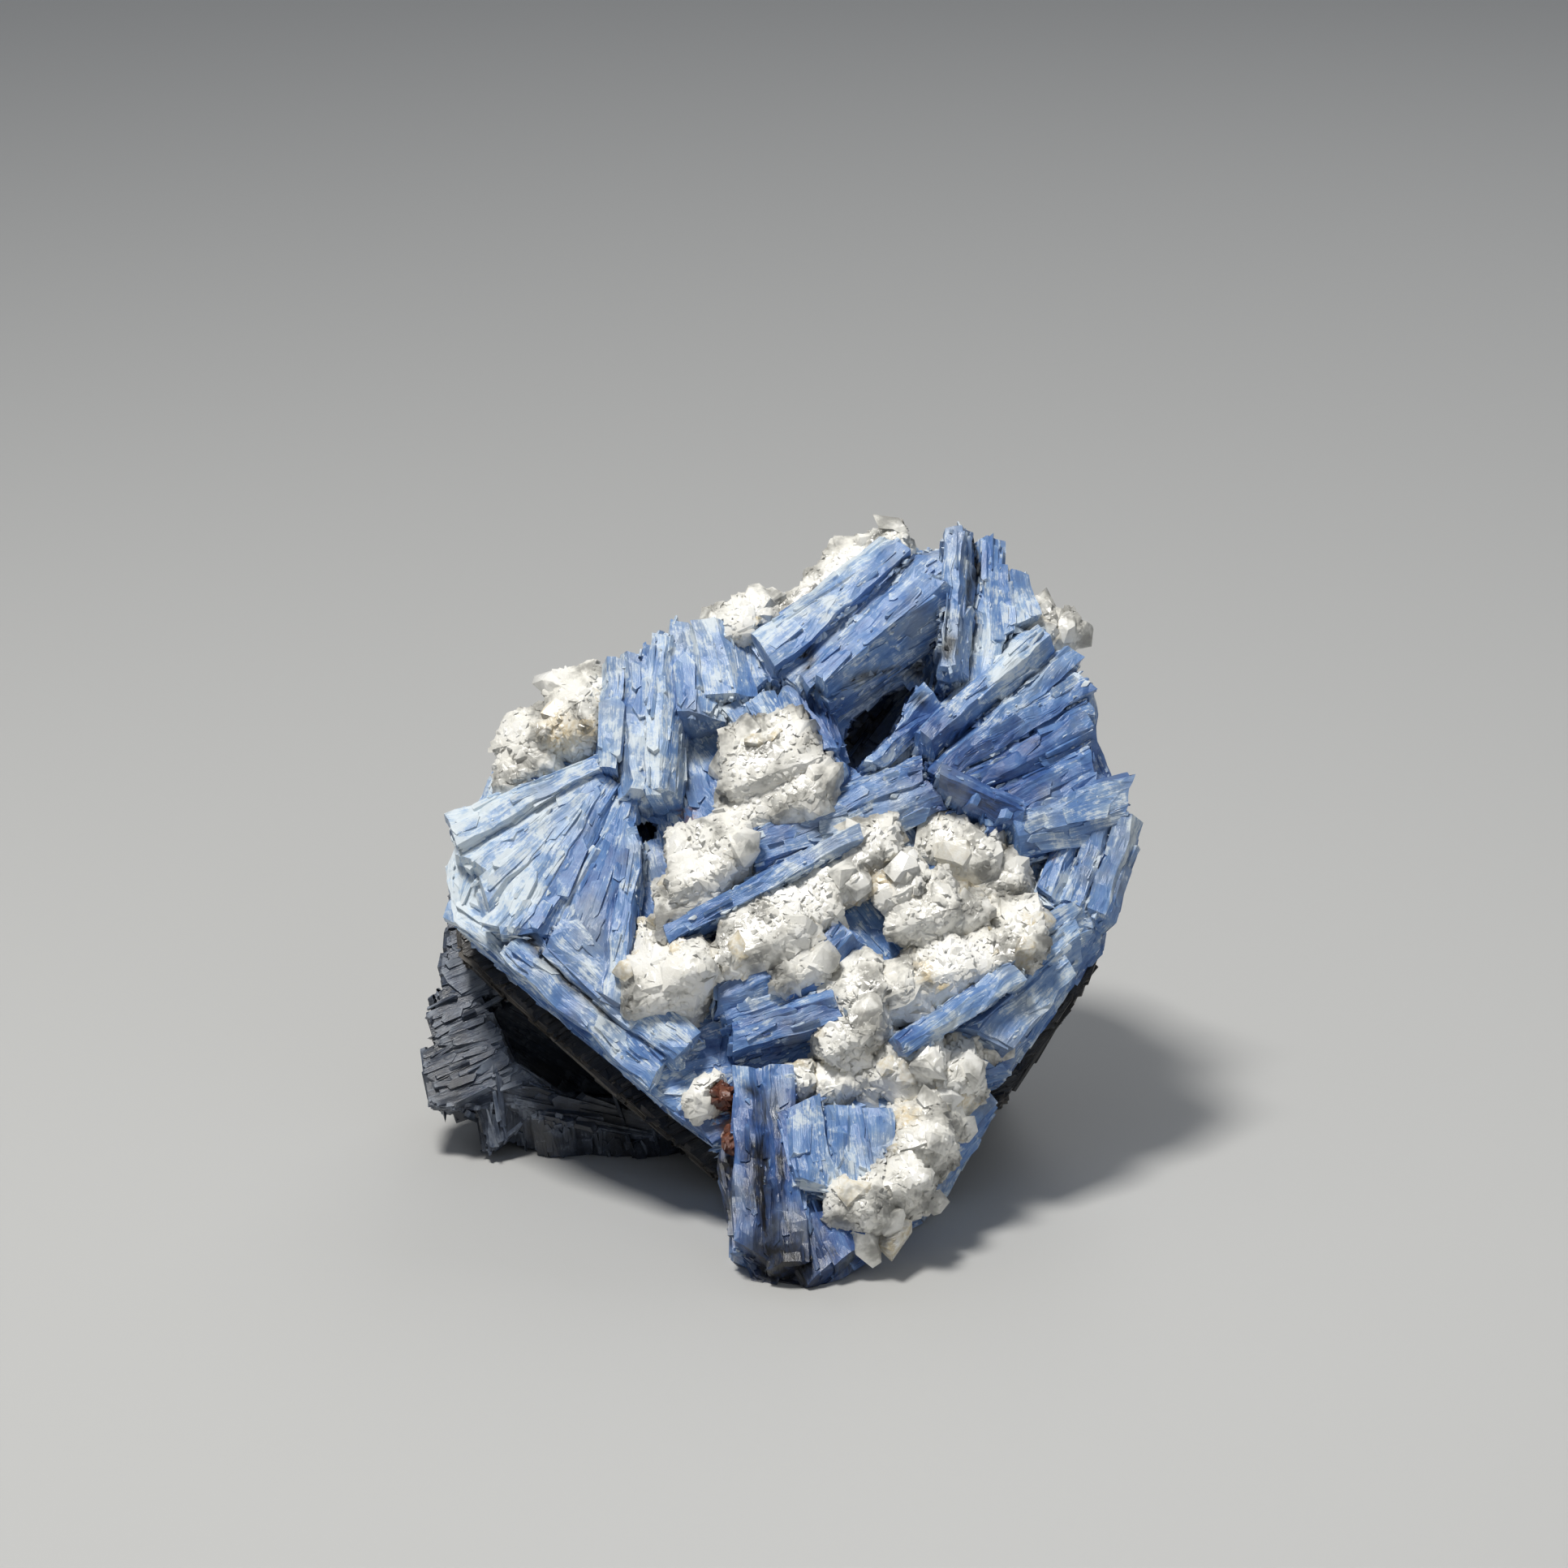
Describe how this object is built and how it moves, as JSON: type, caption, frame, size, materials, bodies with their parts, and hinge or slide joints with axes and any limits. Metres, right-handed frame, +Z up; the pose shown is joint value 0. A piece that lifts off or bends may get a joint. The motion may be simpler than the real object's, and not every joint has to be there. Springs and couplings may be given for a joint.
{
  "type": "kyanite mineral specimen",
  "caption": "Natural cluster of blue kyanite blades with white vein quartz, backed by dark mica and a dark bladed foot, standing on a flat base.",
  "frame": {"origin": "under the middle of the cluster's bounding box, on the surface that it stands on", "axes": "+Z up, +X to the viewer's right, and the bright leaning face looks along -Y"},
  "size_m": [0.0596, 0.0542, 0.0513],
  "materials": {
    "kyanite": "vitreous to pearly cleavage, streaked",
    "dark_kyanite": "dull bladed",
    "mica": "laminated, satin",
    "quartz": "milky, glassy",
    "garnet": "rusty, dull"
  },
  "bodies": {
    "root": {"kyanite_slab": "kyanite", "quartz_left_shoulder": "quartz", "quartz_top": "quartz", "quartz_upper_middle": "quartz", "quartz_middle_band": "quartz", "quartz_middle_cluster": "quartz", "quartz_lower_right": "quartz", "quartz_right_pocket": "quartz", "quartz_grey_pocket": "quartz", "quartz_lower_edge": "quartz", "quartz_lower_pocket": "quartz", "quartz_rim": "quartz", "quartz_right_shoulder": "quartz", "mica_layer": "mica", "kyanite_foot": "dark_kyanite", "quartz_back": "quartz", "garnet_1": "garnet", "garnet_2": "garnet", "garnet_3": "garnet"}
  },
  "joints": []
}
